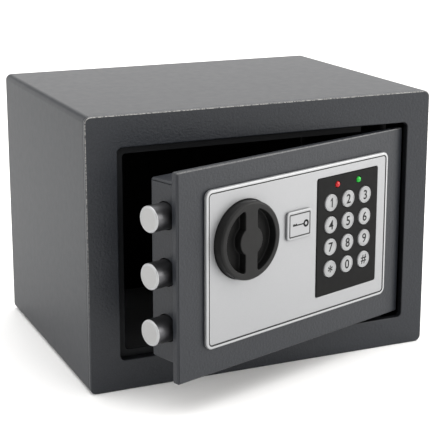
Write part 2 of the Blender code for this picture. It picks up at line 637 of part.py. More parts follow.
def make_electronics(paints, door):
    """Circuit board and the battery pack with its four cells."""
    x, z = PACK_CENTRE
    half = PACK_WIDTH / 2
    low, high = z - PACK_HEIGHT / 2, z + PACK_HEIGHT / 2
    box("circuit_board", (x - half, BOX_FRONT + 0.8 * MM, low), (x + half, BOX_FRONT + 2.4 * MM, high),
        paints["circuit_green"], door)
    front, rear = BOX_FRONT + 3.0 * MM, BOX_REAR - BOX_WALL
    tray = box("battery_tray", (x - half, front, low), (x + half, rear, high),
               paints["black_plastic"], door)
    wall = 1.5 * MM
    cut(tray, box("tray_cutter", (x - half + wall, front + wall, low + wall),
                  (x + half - wall, rear + 5 * MM, high - wall), None, door))
    pitch = (PACK_HEIGHT - 2 * wall) / 4
    cell_y = front + wall + GAP + CELL_RADIUS
    for number in range(4):
        cell_z = low + wall + pitch * (number + 0.5)
        button = 2.0 * MM
        body = CELL_LENGTH - button
        profile = [(0, CELL_LENGTH), (2.6 * MM, CELL_LENGTH), (2.6 * MM, body),
                   (CELL_RADIUS - 0.5 * MM, body), (CELL_RADIUS, body - 0.5 * MM), (CELL_RADIUS, 0), (0, 0)]
        direction, side = (("+X", -1), ("-X", 1))[number % 2]
        turned(f"battery_cell_{number + 1}", profile, direction,
               (x + side * CELL_LENGTH / 2, cell_y, cell_z), paints["cell_wrap"], door, 20)


def make_inner_cover(paints, door):
    """Rear cover of the door box with its four screws, battery lid and code-setting button."""
    inset = 2.5 * MM
    front = BOX_REAR + GAP
    rear = front + COVER_THICKNESS
    edge = rounded_rectangle(
        BOX_LEFT + inset, BOX_RIGHT - inset, BOX_BOTTOM + inset, BOX_TOP - inset, 2 * MM
    )
    x, z = PACK_CENTRE
    window = centred_rectangle(PACK_WIDTH - 3 * MM, PACK_HEIGHT - 3 * MM, 1.5 * MM, PACK_CENTRE)
    holes = [circle(1.9 * MM, place, 12) for place in screw_places()]
    holes += [window, circle(3.9 * MM, RESET_BUTTON, 20)]
    plate("inner_cover", [edge] + holes, "Y", front, rear, paints["black_steel"], door)
    head = rear + GAP
    for number, (sx, sz) in enumerate(screw_places()):
        shank = 6.0 * MM
        profile = [(0, shank + 1.6 * MM), (2.2 * MM, shank + 1.6 * MM), (3.1 * MM, shank + 0.9 * MM),
                   (3.1 * MM, shank), (1.5 * MM, shank), (1.5 * MM, 0), (0, 0)]
        turned(f"cover_screw_{number + 1}", profile, "+Y", (sx, head - shank, sz),
               paints["zinc_steel"], door, 16)
    half_x, half_z = PACK_WIDTH / 2 + 2 * MM, PACK_HEIGHT / 2 + 2 * MM
    lid = box("battery_lid", (x - half_x, head, z - half_z), (x + half_x, head + 1.6 * MM, z + half_z),
              paints["black_plastic"], door, 0.5 * MM)
    ridge = box("lid_ridge", (x - half_x + 3 * MM, head + 1 * MM, z - 9 * MM),
                (x - half_x + 5 * MM, head + 2.8 * MM, z + 9 * MM), None, door)
    join(lid, ridge)
    profile = [(0, 9 * MM), (3.0 * MM, 9 * MM), (3.5 * MM, 8.5 * MM), (3.5 * MM, 0), (0, 0)]
    turned("reset_button", profile, "+Y", (RESET_BUTTON[0], rear - 6 * MM, RESET_BUTTON[1]),
           paints["red_plastic"], door, 20)


def make_door(paints, root):
    hinge = pivot("door_hinge", (HINGE_X, HINGE_Y, 0), root)
    door = pivot("door_frame", (-HINGE_X, -HINGE_Y, 0), hinge)
    make_door_plate(paints, door)
    make_door_box(paints, door)
    make_hinge_pins(paints, door)
    make_fascia(paints, door)
    make_keypad(paints, door)
    make_key_lock(paints, door)
    make_knob(paints, door)
    make_bolt_work(paints, door)
    make_solenoid(paints, door)
    make_electronics(paints, door)
    make_inner_cover(paints, door)
    hinge.rotation_euler.z = REST_ANGLE


def main():
    for obj in list(bpy.data.objects):
        bpy.data.objects.remove(obj)
    for collection in (PARTS, CUTTERS):
        bpy.context.scene.collection.children.link(collection)
    paints = make_materials()
    root = pivot("underside_centre", (0, -CABINET_DEPTH / 2, 0), None)
    make_cabinet(paints, root)
    make_door(paints, root)


main()
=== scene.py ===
"""Looks for the small room safe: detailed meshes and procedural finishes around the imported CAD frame.

Lengths are in metres. Cabinet pieces are drawn in the cabinet's own axes: x across the front, y the
depth behind the front face, z up. Door pieces are drawn in the closed door's axes, which are the same,
and DOOR then turns them to the rest pose. An outline is a function: given how far it is moved inwards,
it returns its (x, z) points, counterclockwise from the front.
"""

import json
import math

import bmesh
import bpy
from mathutils import Matrix, Vector
from mathutils.geometry import tessellate_polygon

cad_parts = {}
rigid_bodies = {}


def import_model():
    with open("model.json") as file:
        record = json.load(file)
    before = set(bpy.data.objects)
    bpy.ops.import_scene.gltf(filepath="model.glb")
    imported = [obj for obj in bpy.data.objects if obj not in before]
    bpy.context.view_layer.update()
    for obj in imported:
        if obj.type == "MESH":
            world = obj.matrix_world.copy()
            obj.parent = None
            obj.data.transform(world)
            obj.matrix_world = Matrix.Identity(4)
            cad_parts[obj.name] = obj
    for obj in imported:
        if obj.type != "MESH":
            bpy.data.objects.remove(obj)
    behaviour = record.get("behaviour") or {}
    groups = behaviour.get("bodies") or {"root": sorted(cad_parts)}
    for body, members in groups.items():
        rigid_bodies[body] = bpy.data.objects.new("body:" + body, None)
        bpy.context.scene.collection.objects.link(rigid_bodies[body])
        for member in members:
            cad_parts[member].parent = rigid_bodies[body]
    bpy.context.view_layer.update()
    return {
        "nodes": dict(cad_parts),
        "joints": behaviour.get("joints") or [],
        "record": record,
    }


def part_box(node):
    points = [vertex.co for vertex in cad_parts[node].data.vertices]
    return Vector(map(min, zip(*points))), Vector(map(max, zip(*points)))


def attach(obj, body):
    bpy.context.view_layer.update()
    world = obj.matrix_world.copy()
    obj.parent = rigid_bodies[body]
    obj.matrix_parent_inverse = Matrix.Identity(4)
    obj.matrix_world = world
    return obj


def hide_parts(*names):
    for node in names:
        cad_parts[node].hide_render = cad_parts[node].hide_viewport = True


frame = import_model()

MM = 0.001
LIFT = 0.03 * MM  # how far printed marks stand off what they are printed on

# ---------------------------------------------------------------- the frame's own places

JOINTS = {joint["name"]: joint for joint in frame["joints"]}
FRONT_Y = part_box("front_frame")[0].y
CABINET = Matrix.Translation((0, FRONT_Y, 0))
HINGE = Vector(JOINTS["door_swing"]["pos_m"])
REST_ANGLE = -math.radians(JOINTS["door_swing"]["range_deg"][0])
DOOR = Matrix.Translation(HINGE) @ Matrix.Rotation(REST_ANGLE, 4, "Z") @ Matrix.Translation(-HINGE) @ CABINET


def extent(node, axes=DOOR):
    """Lowest and highest corner of a CAD node, in the cabinet's or the closed door's axes."""
    back = axes.inverted()
    points = [back @ vertex.co for vertex in frame["nodes"][node].data.vertices]
    low = Vector([min(point[i] for point in points) for i in range(3)])
    high = Vector([max(point[i] for point in points) for i in range(3)])
    return low, high


def middle(node, axes=DOOR):
    low, high = extent(node, axes)
    return (low + high) / 2


# ---------------------------------------------------------------- outlines


def arc(centre, radius, start, end, steps):
    """Points along an arc; the angles are in degrees."""
    angles = [math.radians(start + (end - start) * step / steps) for step in range(steps + 1)]
    return [(centre[0] + radius * math.cos(a), centre[1] + radius * math.sin(a)) for a in angles]


def circle(radius, centre=(0, 0), sides=64):
    return lambda inset: arc(centre, radius - inset, 0, 360, sides)[:-1]


def rounded(left, right, bottom, top, radius, steps=8):
    """A rectangle with round corners."""

    def at(inset):
        bend = max(radius - inset, 0.1 * MM)
        corners = ((right, top, -1, -1), (left, top, 1, -1), (left, bottom, 1, 1), (right, bottom, -1, 1))
        points = []
        for quarter, (x, z, inward_x, inward_z) in enumerate(corners):
            centre = (x + inward_x * (inset + bend), z + inward_z * (inset + bend))
            points += arc(centre, bend, 90 * quarter, 90 * quarter + 90, steps)
        return points

    return at


def rectangle_of(node, axes, radius, steps=8):
    """The node's outline from the front as a rounded rectangle."""
    low, high = extent(node, axes)
    return rounded(low.x, high.x, low.z, high.z, radius, steps)


def drawn(points):
    """Any counterclockwise outline."""

    def at(inset):
        moved = []
        for before, here, after in zip(points[-1:] + points[:-1], points, points[1:] + points[:1]):
            here = Vector(here)
            first, second = (here - Vector(before)).normalized(), (Vector(after) - here).normalized()
            normals = Vector((-first.y, first.x)), Vector((-second.y, second.x))
            total = normals[0] + normals[1]
            moved.append(tuple(here + total * (inset / (1 + normals[0].dot(normals[1])))))
        return moved

    return at


def turned_over(points):
    """The points mirrored left to right, still counterclockwise."""
    return [(-x, z) for x, z in reversed(points)]


def shifted(points, centre):
    return [(x + centre[0], z + centre[1]) for x, z in points]


# ---------------------------------------------------------------- edge profiles: (inset, depth) pairs


def round_front(start, front, radius, steps=4):
    """From an outer wall at inset start round onto the face at depth front."""
    return arc((start + radius, front + radius), radius, 180, 270, steps)


def round_back(start, back, radius, steps=4):
    """From the face at depth back round onto an outer wall at inset start."""
    return arc((start + radius, back - radius), radius, 90, 180, steps)


def rim_front(start, front, radius, steps=4):
    """From the face at depth front round into a hole whose wall is at inset start."""
    return arc((start - radius, front + radius), radius, 270, 360, steps)


def rim_back(start, back, radius, steps=4):
    """From a hole's wall at inset start round onto the face at depth back."""
    return arc((start - radius, back - radius), radius, 0, 90, steps)


def floor_fillet(start, floor, radius, steps=4):
    """From a blind hole's wall at inset start round onto its floor."""
    return arc((start + radius, floor - radius), radius, 180, 90, steps)


# ---------------------------------------------------------------- meshes


class Solid:
    """A closed mesh made of rings, the bands between them and flat caps."""

    def __init__(self):
        self.work = bmesh.new()

    def ring(self, points, depth):
        return [self.work.verts.new((x, depth, z)) for x, z in points]

    def band(self, near, far, paint=0):
        for i in range(len(near)):
            face = self.work.faces.new((near[i - 1], near[i], far[i], far[i - 1]))
            face.material_index = paint

    def wall(self, outline, profile, paints=None, closed=False):
        """Bands along an outline through the (inset, depth) profile; returns the first and last ring."""
        rings = [self.ring(outline(inset), depth) for inset, depth in profile]
        spans = list(zip(rings, rings[1:] + rings[:1] if closed else rings[1:]))
        for i, (near, far) in enumerate(spans):
            self.band(near, far, (paints or {}).get(i, 0))
        return rings[0], rings[-1]

    def cap(self, rings, paint=0):
        """A flat face inside the first ring and outside the others."""
        loops = [[Vector((v.co.x, v.co.z, 0)) for v in ring] for ring in rings]
        corners = [v for ring in rings for v in ring]
        for triangle in tessellate_polygon(loops):
            face = self.work.faces.new([corners[i] for i in triangle])
            face.material_index = paint

    def pole(self, ring, depth, paint=0):
        """Closes a round ring on a point at its centre."""
        centre = sum((v.co for v in ring), Vector()) / len(ring)
        tip = self.work.verts.new((centre.x, depth, centre.z))
        for i in range(len(ring)):
            self.work.faces.new((ring[i - 1], ring[i], tip)).material_index = paint

    def mesh(self, name):
        bmesh.ops.remove_doubles(self.work, verts=self.work.verts, dist=1e-7)
        bmesh.ops.recalc_face_normals(self.work, faces=self.work.faces)
        mesh = bpy.data.meshes.new(name)
        self.work.to_mesh(mesh)
        self.work.free()
        return mesh


def drilled(mesh, cutters, slots=1):
    """The mesh less the cutters' volumes. A Boolean keeps a face's material number only up to slots."""
    scene = bpy.context.scene.collection.objects
    for _ in range(slots):
        mesh.materials.append(None)
    target = bpy.data.objects.new("drilled", mesh)
    scene.link(target)
    tools = []
    for cutter in cutters:
        tool = bpy.data.objects.new("cutter", cutter)
        scene.link(tool)
        modifier = target.modifiers.new("cut", "BOOLEAN")
        modifier.object = tool
        modifier.solver = "EXACT"
        tools.append(tool)
    result = bpy.data.meshes.new_from_object(target.evaluated_get(bpy.context.evaluated_depsgraph_get()))
    for obj in [target] + tools:
        bpy.data.objects.remove(obj)
    return result


def slug(outline, near, far):
    """A plain prism between two depths, used as a cutter."""
    solid = Solid()
    first, last = solid.wall(outline, [(0, near), (0, far)])
    solid.cap([first])
    solid.cap([last])
    return solid.mesh("slug")


def place(mesh, name, axes, finishes, body, node=None, slot=None, crease=38):
    """Puts a mesh in the frame's coordinates, rides it on its body and lets it stand for its CAD node.

    slot, the name of the record's finish for the piece, is not used.
    """
    mesh.name = name
    mesh.transform(axes)
    mesh.shade_smooth()
    mesh.set_sharp_from_angle(angle=math.radians(crease))
    while len(mesh.materials) < len(finishes):
        mesh.materials.append(None)  # clearing the slots would reset the faces' numbers
    for number, finish in enumerate(finishes):
        mesh.materials[number] = finish
    obj = bpy.data.objects.new(name, mesh)
    bpy.context.scene.collection.objects.link(obj)
    even = obj.modifiers.new("even_normals", "WEIGHTED_NORMAL")
    even.keep_sharp = True
    if node:
        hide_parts(node)
    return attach(obj, body)


def plate(outline, back, front, edge, holes=(), steps=4, edge_paint=0):
    """A plate with rounded edges, and round-edged holes right through it."""
    solid = Solid()
    profile = round_back(0, back, edge, steps) + round_front(0, front, edge, steps)
    # the front rounding may take a second finish; on the door it carries lighter streaks that are partly
    # painted highlight
    edge_streaks = {i: edge_paint for i in range(steps + 2, 2 * steps)}
    backs, fronts = map(list, zip(solid.wall(outline, profile, edge_streaks)))
    for hole in holes:
        near, far = solid.wall(hole, rim_front(0, front, edge, steps) + rim_back(0, back, edge, steps))
        fronts.append(near)
        backs.append(far)
    solid.cap(fronts)
    solid.cap(backs)
    return solid.mesh("plate")


def lathe(profile, centre=(0, 0), sides=64, paints=None):
    """A turned mesh about an axis along the depth; profile lists (radius, depth), front to back."""
    solid = Solid()
    rings = []
    for radius, depth in profile:
        rings.append(solid.ring(circle(radius, centre, sides)(0), depth) if radius else None)
    for i, (near, far) in enumerate(zip(rings, rings[1:])):
        paint = (paints or {}).get(i, 0)
        if near is None:
            solid.pole(far, profile[i][1], paint)
        elif far is None:
            solid.pole(near, profile[i + 1][1], paint)
        else:
            solid.band(near, far, paint)
    return solid.mesh("lathe")


# ---------------------------------------------------------------- finishes


class Finish:
    """A procedural material; its textures read the piece's own coordinates, in metres."""

    def __init__(self, name, colour, roughness, metallic=0.0, **more):
        self.name = name
        self.material = bpy.data.materials.new(name)
        self.material.use_nodes = True
        self.tree = self.material.node_tree
        self.shader = self.tree.nodes["Principled BSDF"]
        self.place = self.tree.nodes.new("ShaderNodeTexCoord").outputs["Object"]
        self.material.diffuse_color = (*colour, 1)
        values = {"base_color": (*colour, 1), "roughness": roughness, "metallic": metallic, **more}
        for key, value in values.items():
            socket = key.replace("_", " ").title().replace("Ior", "IOR")
            self.shader.inputs[socket].default_value = value

    def link(self, output, target):
        self.tree.links.new(output, target)

    def noise(self, size, detail=2.0, stretch=(1, 1, 1), roughness=0.5):
        """Noise whose features are about size metres across, longer along an axis where stretch is more."""
        mapping = self.tree.nodes.new("ShaderNodeMapping")
        mapping.inputs["Scale"].default_value = [1 / part for part in stretch]
        self.link(self.place, mapping.inputs["Vector"])
        node = self.tree.nodes.new("ShaderNodeTexNoise")
        node.inputs["Scale"].default_value = 1 / size
        node.inputs["Detail"].default_value = detail
        node.inputs["Roughness"].default_value = roughness
        self.link(mapping.outputs["Vector"], node.inputs["Vector"])
        return node.outputs["Fac"]

    def ramp(self, value, stops):
        """value through a colour ramp of (position, colour) stops."""
        node = self.tree.nodes.new("ShaderNodeValToRGB")
        ramp = node.color_ramp
        for i, (position, colour) in enumerate(stops):
            stop = ramp.elements[i] if i < 2 else ramp.elements.new(position)
            stop.position = position
            stop.color = (*colour, 1) if isinstance(colour, tuple) else (colour, colour, colour, 1)
        self.link(value, node.inputs["Fac"])
        return node.outputs["Color"]

    def mottle(self, size, detail, dark, light):
        """Noise that runs from one colour to the other."""
        return self.ramp(self.noise(size, detail), [(0.3, dark), (0.7, light)])

    def between(self, value, low, high):
        """value, 0 to 1, mapped to low to high."""
        node = self.tree.nodes.new("ShaderNodeMapRange")
        node.inputs["From Min"].default_value = 0.3
        node.inputs["From Max"].default_value = 0.7
        node.inputs["To Min"].default_value = low
        node.inputs["To Max"].default_value = high
        self.link(value, node.inputs["Value"])
        return node.outputs["Result"]

    def height(self, low, high):
        """0 below the height low and 1 above high, in metres over the floor."""
        split = self.tree.nodes.new("ShaderNodeSeparateXYZ")
        self.link(self.place, split.inputs["Vector"])
        node = self.tree.nodes.new("ShaderNodeMapRange")
        node.inputs["From Min"].default_value = low
        node.inputs["From Max"].default_value = high
        self.link(split.outputs["Z"], node.inputs["Value"])
        return node.outputs["Result"]

    def mix(self, factor, first, second):
        node = self.tree.nodes.new("ShaderNodeMix")
        node.data_type = "RGBA"
        self.link(factor, node.inputs["Factor"])
        for source, target in ((first, node.inputs["A"]), (second, node.inputs["B"])):
            if isinstance(source, tuple):
                target.default_value = (*source, 1)
            else:
                self.link(source, target)
        return node.outputs["Result"]

    def bump(self, height, depth, strength=1.0):
        """Raises the surface by height, whose full swing is depth metres; calls add up."""
        node = self.tree.nodes.new("ShaderNodeBump")
        node.inputs["Strength"].default_value = strength
        node.inputs["Distance"].default_value = depth
        self.link(height, node.inputs["Height"])
        normal = self.shader.inputs["Normal"]
        if normal.is_linked:
            self.link(normal.links[0].from_socket, node.inputs["Normal"])
        self.link(node.outputs["Normal"], normal)
        return self

    def colour(self, output):
        self.link(output, self.shader.inputs["Base Color"])
        return self

    def roughness(self, output):
        self.link(output, self.shader.inputs["Roughness"])
        return self


def scaled(colour, factor):
    return tuple(part * factor for part in colour)


def powder_coat(name, colour, roughness=0.40, specular=0.3, peel=0.03 * MM, speckle=0.35):
    """Fine orange-peel powder coat with speckle and slight changes of sheen."""
    finish = Finish(name, colour, roughness, specular_ior_level=specular)
    finish.colour(finish.mottle(0.45 * MM, 2, scaled(colour, 1 - speckle), scaled(colour, 1 + speckle)))
    finish.roughness(finish.between(finish.noise(5 * MM, 2), roughness - 0.01, roughness + 0.015))
    finish.bump(finish.noise(1.6 * MM, 1), peel)
    return finish


def wear_and_highlight_edge(name, colour, light, share, plain_below=0.0, streaked_above=1 * MM):
    """Powder coat rubbed thin in lighter broken streaks, partly real wear and partly painted highlight where
    light catches upper edges: plain below one height, streaked above another, so the streaks grow towards the
    top.
    """
    finish = Finish(name, colour, 0.36, specular_ior_level=0.5)
    streak_noise = finish.noise(1.1 * MM, 4, roughness=0.7)
    streaks = finish.ramp(streak_noise, [(share - 0.06, colour), (share + 0.06, light)])
    finish.colour(finish.mix(finish.height(plain_below, streaked_above), colour, streaks))
    finish.bump(finish.noise(0.8 * MM, 2), 0.02 * MM)
    return finish


def moulded_plastic(name, colour, roughness, grain=0.006 * MM, specular=0.5):
    """Fine spark-eroded texture with slight changes of sheen."""
    finish = Finish(name, colour, roughness, specular_ior_level=specular)
    finish.colour(finish.mottle(5 * MM, 3, scaled(colour, 0.9), scaled(colour, 1.1)))
    finish.roughness(finish.between(finish.noise(3 * MM, 3), roughness - 0.04, roughness + 0.05))
    finish.bump(finish.noise(0.25 * MM, 2), grain)
    return finish


def drawn_metal(name, colour, roughness, size, grain=0.003 * MM, metallic=1.0, stretch=(1, 1, 1)):
    """Metal with fine drawing or grinding marks, longer along an axis where stretch is more."""
    finish = Finish(name, colour, roughness, metallic)
    marks = finish.noise(size, 3, stretch)
    finish.colour(finish.ramp(marks, [(0.3, scaled(colour, 0.94)), (0.7, scaled(colour, 1.04))]))
    finish.roughness(finish.between(finish.noise(3 * MM, 2), roughness - 0.015, roughness + 0.02))
    finish.bump(marks, grain)
    return finish


def plain_ink(name, colour):
    finish = Finish(name, colour, 0.6, specular_ior_level=0.1)
    finish.colour(finish.mottle(0.4 * MM, 2, scaled(colour, 0.8), scaled(colour, 1.3)))
    return finish


def lens(name, colour, glow):
    """Tinted lens, lit from behind a little more at some places than at others."""
    finish = Finish(name, colour, 0.2, specular_ior_level=0.3, emission_strength=glow)
    tint = finish.mottle(1.2 * MM, 2, scaled(colour, 0.75), colour)
    finish.colour(tint)
    finish.link(tint, finish.shader.inputs["Emission Color"])
    return finish


def felt(name, colour):
    """Needle felt: matted fibres with a soft sheen."""
    finish = Finish(name, colour, 0.95, specular_ior_level=0.1, sheen_weight=0.4, sheen_roughness=0.6)
    fibres = finish.noise(0.35 * MM, 5, (1, 4, 1), 0.7)
    crossed = finish.noise(0.35 * MM, 5, (4, 1, 1), 0.7)
    finish.colour(finish.ramp(fibres, [(0.35, scaled(colour, 0.5)), (0.7, scaled(colour, 2.0))]))
    finish.bump(fibres, 0.12 * MM).bump(crossed, 0.12 * MM)
    return finish


CHARCOAL = (0.0120, 0.0138, 0.0175)
ALONG_X = (12, 1, 1)  # stretch of marks that run across the front


def make_finishes():
    finishes = [
        powder_coat("charcoal_paint", CHARCOAL, specular=0.32, peel=0.16 * MM),
        powder_coat("charcoal_wrap", CHARCOAL, specular=0.15, speckle=0.12),
        # upper frame edges: lighter streaks, partly real wear and partly painted highlight
        wear_and_highlight_edge("charcoal_wear_and_highlight", CHARCOAL, (0.25, 0.245, 0.235), 0.48, 30 * MM, 150 * MM),
        # door's top edge: lighter streaks, partly real wear and partly painted highlight
        wear_and_highlight_edge("charcoal_rub_and_highlight", CHARCOAL, (0.06, 0.06, 0.06), 0.48),
        # near-black copy of the paint for the opening's return and the door stop: painted shade in the recess
        powder_coat("recess_shade_paint", (0.0045, 0.005, 0.006), 0.5, 0.12),
        # near-black copy of the paint for the cabinet's inside and the hinge parts: painted shade
        powder_coat("inside_shade_paint", (0.0035, 0.0035, 0.0038), 0.7, 0.08),
        powder_coat("black_steel", (0.012, 0.012, 0.013), 0.5, 0.3),
        drawn_metal("satin_silver", (0.276, 0.280, 0.287), 0.45, 0.2 * MM, 0.0008 * MM, 0.5),
        # lighter copy of the satin silver: painted highlight on the fascia's rims and the bolts' chamfers
        drawn_metal("silver_highlight", (0.345, 0.35, 0.357), 0.38, 0.2 * MM, 0.0008 * MM, 0.6),
        drawn_metal("bright_steel", (0.32, 0.32, 0.32), 0.40, 0.15 * MM, 0.001 * MM, 0.8),
        # darker copy of the bright steel for the bolts' sides: painted shade
        drawn_metal("steel_side_shade", (0.095, 0.095, 0.10), 0.40, 0.15 * MM, 0.001 * MM),
        drawn_metal("zinc_steel", (0.45, 0.46, 0.48), 0.38, 0.4 * MM, stretch=ALONG_X),
        drawn_metal("brass", (0.66, 0.48, 0.2), 0.28, 0.3 * MM),
        moulded_plastic("knob_plastic", (0.010, 0.010, 0.010), 0.42, 0.003 * MM, 0.13),
        # darker copy of the knob plastic for its finger pockets: painted shade
        moulded_plastic("pocket_shade_plastic", (0.004, 0.004, 0.004), 0.6, 0.004 * MM, 0.12),
        moulded_plastic("keypad_plastic", (0.005, 0.005, 0.005), 0.5, 0.004 * MM, 0.07),
        moulded_plastic("black_plastic", (0.018, 0.018, 0.018), 0.5),
        moulded_plastic("key_silver", (0.262, 0.266, 0.270), 0.42, 0.003 * MM, 0.25),
        moulded_plastic("groove_black", (0.006, 0.006, 0.006), 0.6),
        moulded_plastic("red_plastic", (0.45, 0.02, 0.02), 0.35),
        plain_ink("printed_black", (0.004, 0.004, 0.004)),
        felt("black_felt", (0.006, 0.006, 0.0065)),
        lens("red_lens", (0.36, 0.002, 0.004), 0.08),
        lens("green_lens", (0.002, 0.30, 0.02), 0.22),
        moulded_plastic("circuit_green", (0.02, 0.15, 0.06), 0.4),
        moulded_plastic("cell_wrap", (0.06, 0.09, 0.16), 0.3),
        moulded_plastic("cell_band", (0.55, 0.38, 0.16), 0.3),
    ]
    return {finish.name: finish.material for finish in finishes}


PAINT = make_finishes()


# ---------------------------------------------------------------- cabinet

SHEET = 2.0 * MM
BEND_RADIUS = 4.0 * MM
BEND_STEPS = 12
ANCHOR_RADIUS = 5.0 * MM
FLAT = CABINET @ Matrix(((1, 0, 0), (0, 0, 1), (0, -1, 0))).to_4x4()  # depth runs down, z runs back


def anchor_places(node, axes):
    """The two anchor holes of a panel, level with its middle and as far apart as its record says."""
    opening = {"cabinet_shell": "floor_anchor", "rear_panel": "rear_anchor"}[node]
    places = []
    for item in frame["record"]["physics"]["openings"]:
        if item["name"].startswith(opening):
            low, high = map(Vector, item["box_m"])
            place = axes.inverted() @ ((low + high) / 2)
            places.append((place.x, place.z))
    return places


def make_shell():
    """Wrap of bent sheet: rounded long edges, inside painted near-black as painted shade, two anchor holes in
    its floor.
    """
    low, high = extent("cabinet_shell", CABINET)
    edge = 0.15 * MM
    profile = [
        (edge, low.y), (0, low.y + edge), (0, high.y - edge), (edge, high.y), (SHEET - edge, high.y),
        (SHEET, high.y - edge), (SHEET, low.y + edge), (SHEET - edge, low.y),
    ]
    solid = Solid()
    outline = rectangle_of("cabinet_shell", CABINET, BEND_RADIUS, BEND_STEPS)
    solid.wall(outline, profile, {5: 1}, closed=True)
    holes = [circle(ANCHOR_RADIUS, centre, 32) for centre in anchor_places("cabinet_shell", FLAT)]
    cutters = [slug(hole, -4 * MM, 1 * MM) for hole in holes]
    for cutter in cutters:
        cutter.transform(CABINET.inverted() @ FLAT)
    mesh = drilled(solid.mesh("shell"), cutters, 2)
    place(mesh, "shell_wrap", CABINET, [PAINT["charcoal_wrap"], PAINT["inside_shade_paint"]], "cabinet",
          "cabinet_shell", "charcoal_paint")


def make_front_frame():
    """Front plate: upper edges streaked lighter, partly real wear and partly painted highlight, and an
    opening whose edge rolls back into a short return painted near-black as painted shade.
    """
    low, high = extent("front_frame", CABINET)
    thickness, outer, roll, lip, chamfer = 3.0 * MM, 0.9 * MM, 0.9 * MM, 1.6 * MM, 0.3 * MM
    left_gap, right_gap, foot_gap, head_gap = 2.25 * MM, 2.75 * MM, 3.0 * MM, 3.8 * MM
    steps = 5
    solid = Solid()
    profile = [(0.1 * MM, thickness), (0, thickness - 0.1 * MM)] + round_front(0, low.y, outer, steps)
    outline = rectangle_of("front_frame", CABINET, BEND_RADIUS, BEND_STEPS)
    rear, front = solid.wall(outline, profile, {4: 1, 5: 1})
    # bottom edges keep the plain paint: the lighter streaks, partly painted highlight, stay on edges that
    # light catches from above
    for face in solid.work.faces:
        if face.calc_center_median().z < 3 * MM:
            face.material_index = 0
    door_low, door_high = extent("door_plate")
    opening = rounded(door_low.x - left_gap, door_high.x + right_gap,
                      door_low.z - foot_gap, door_high.z + head_gap, 3 * MM, 10)
    rim = rim_front(0, low.y, roll, steps)
    rim += [(0, high.y - chamfer), (-chamfer, high.y), (-lip + chamfer, high.y), (-lip, high.y - chamfer),
            (-lip, thickness)]
    # the return behind the opening's edge is painted near-black: painted shade
    near, far = solid.wall(opening, rim, {i: 2 for i in range(2, len(rim))})
    solid.cap([front, near])
    solid.cap([rear, far])
    finishes = [PAINT["charcoal_paint"], PAINT["charcoal_wear_and_highlight"], PAINT["recess_shade_paint"]]
    place(solid.mesh("frame"), "front_surround", CABINET, finishes, "cabinet",
          "front_frame", "charcoal_paint")


def make_rear_panel():
    low, high = extent("rear_panel", CABINET)
    holes = [circle(ANCHOR_RADIUS, centre, 32) for centre in anchor_places("rear_panel", CABINET)]
    outline = rectangle_of("rear_panel", CABINET, 1.7 * MM)
    mesh = plate(outline, high.y, low.y, 0.3 * MM, holes, 3)
    # faces turned into the cabinet are painted near-black: painted shade
    for face in mesh.polygons:
        if face.normal.y < -0.9:
            face.material_index = 1
    place(mesh, "rear_sheet", CABINET, [PAINT["charcoal_paint"], PAINT["inside_shade_paint"]], "cabinet",
          "rear_panel", "charcoal_paint")


def make_floor_mat():
    """Felt mat with slightly crushed edges and cut-outs round the anchor holes."""
    low, high = extent("floor_mat", FLAT)
    outline = rounded(low.x, high.x, low.z, high.z, 3 * MM)
    holes = [circle(ANCHOR_RADIUS + 1.5 * MM, centre, 32) for centre in anchor_places("cabinet_shell", FLAT)]
    mesh = plate(outline, high.y, low.y, 0.5 * MM, holes, 4)
    mat = place(mesh, "felt_mat", FLAT, [PAINT["black_felt"]], "cabinet", "floor_mat", "black_felt")


# ---------------------------------------------------------------- door shell

REAR = DOOR @ Matrix.Rotation(math.pi, 4, "Z")  # faces the inside of the cabinet
INWARD_X = DOOR @ Matrix(((0, 1, 0), (-1, 0, 0), (0, 0, 1))).to_4x4()  # depth runs in from the free edge
UPRIGHT = DOOR @ Matrix(((1, 0, 0), (0, 0, 1), (0, -1, 0))).to_4x4()  # depth runs down


def centre_of(node, axes=DOOR):
    spot = middle(node, axes)
    return spot.x, spot.z


LOCK_HOLE = 8.4 * MM
SHAFT_HOLE = 6.4 * MM
WIRE_HOLE = 4.0 * MM
SCREW_HOLE = 1.9 * MM


def make_door_plate():
    """Front of the door: upper edge streaked lighter, partly real wear and partly painted highlight, and a
    hairline down the left of its face.
    """
    low, high = extent("door_plate")
    holes = [circle(SHAFT_HOLE, centre_of("knob")), circle(LOCK_HOLE, centre_of("lock_plug")),
             circle(WIRE_HOLE, centre_of("keypad_panel"))]
    mesh = plate(rectangle_of("door_plate", DOOR, 1.4 * MM), high.y, low.y, 0.9 * MM, holes, 5, 1)
    # only the top edge keeps the lighter streaks, partly wear and partly painted highlight
    for face in mesh.polygons:
        if face.material_index == 1 and face.center.z < high.z - 1 * MM:
            face.material_index = 0
    line, width, margin, depth = low.x + 0.95 * MM, 0.35 * MM, 1.2 * MM, 0.7 * MM
    hairline = rounded(line, line + width, low.z + margin, high.z - margin, 0.1 * MM, 2)
    mesh = drilled(mesh, [slug(hairline, low.y - 1 * MM, low.y + depth)], 2)
    place(mesh, "door_front", DOOR, [PAINT["charcoal_paint"], PAINT["charcoal_rub_and_highlight"]], "door",
          "door_plate", "charcoal_paint")


def screw_centres(axes=DOOR):
    return [centre_of(f"cover_screw_{number}", axes) for number in range(1, 5)]


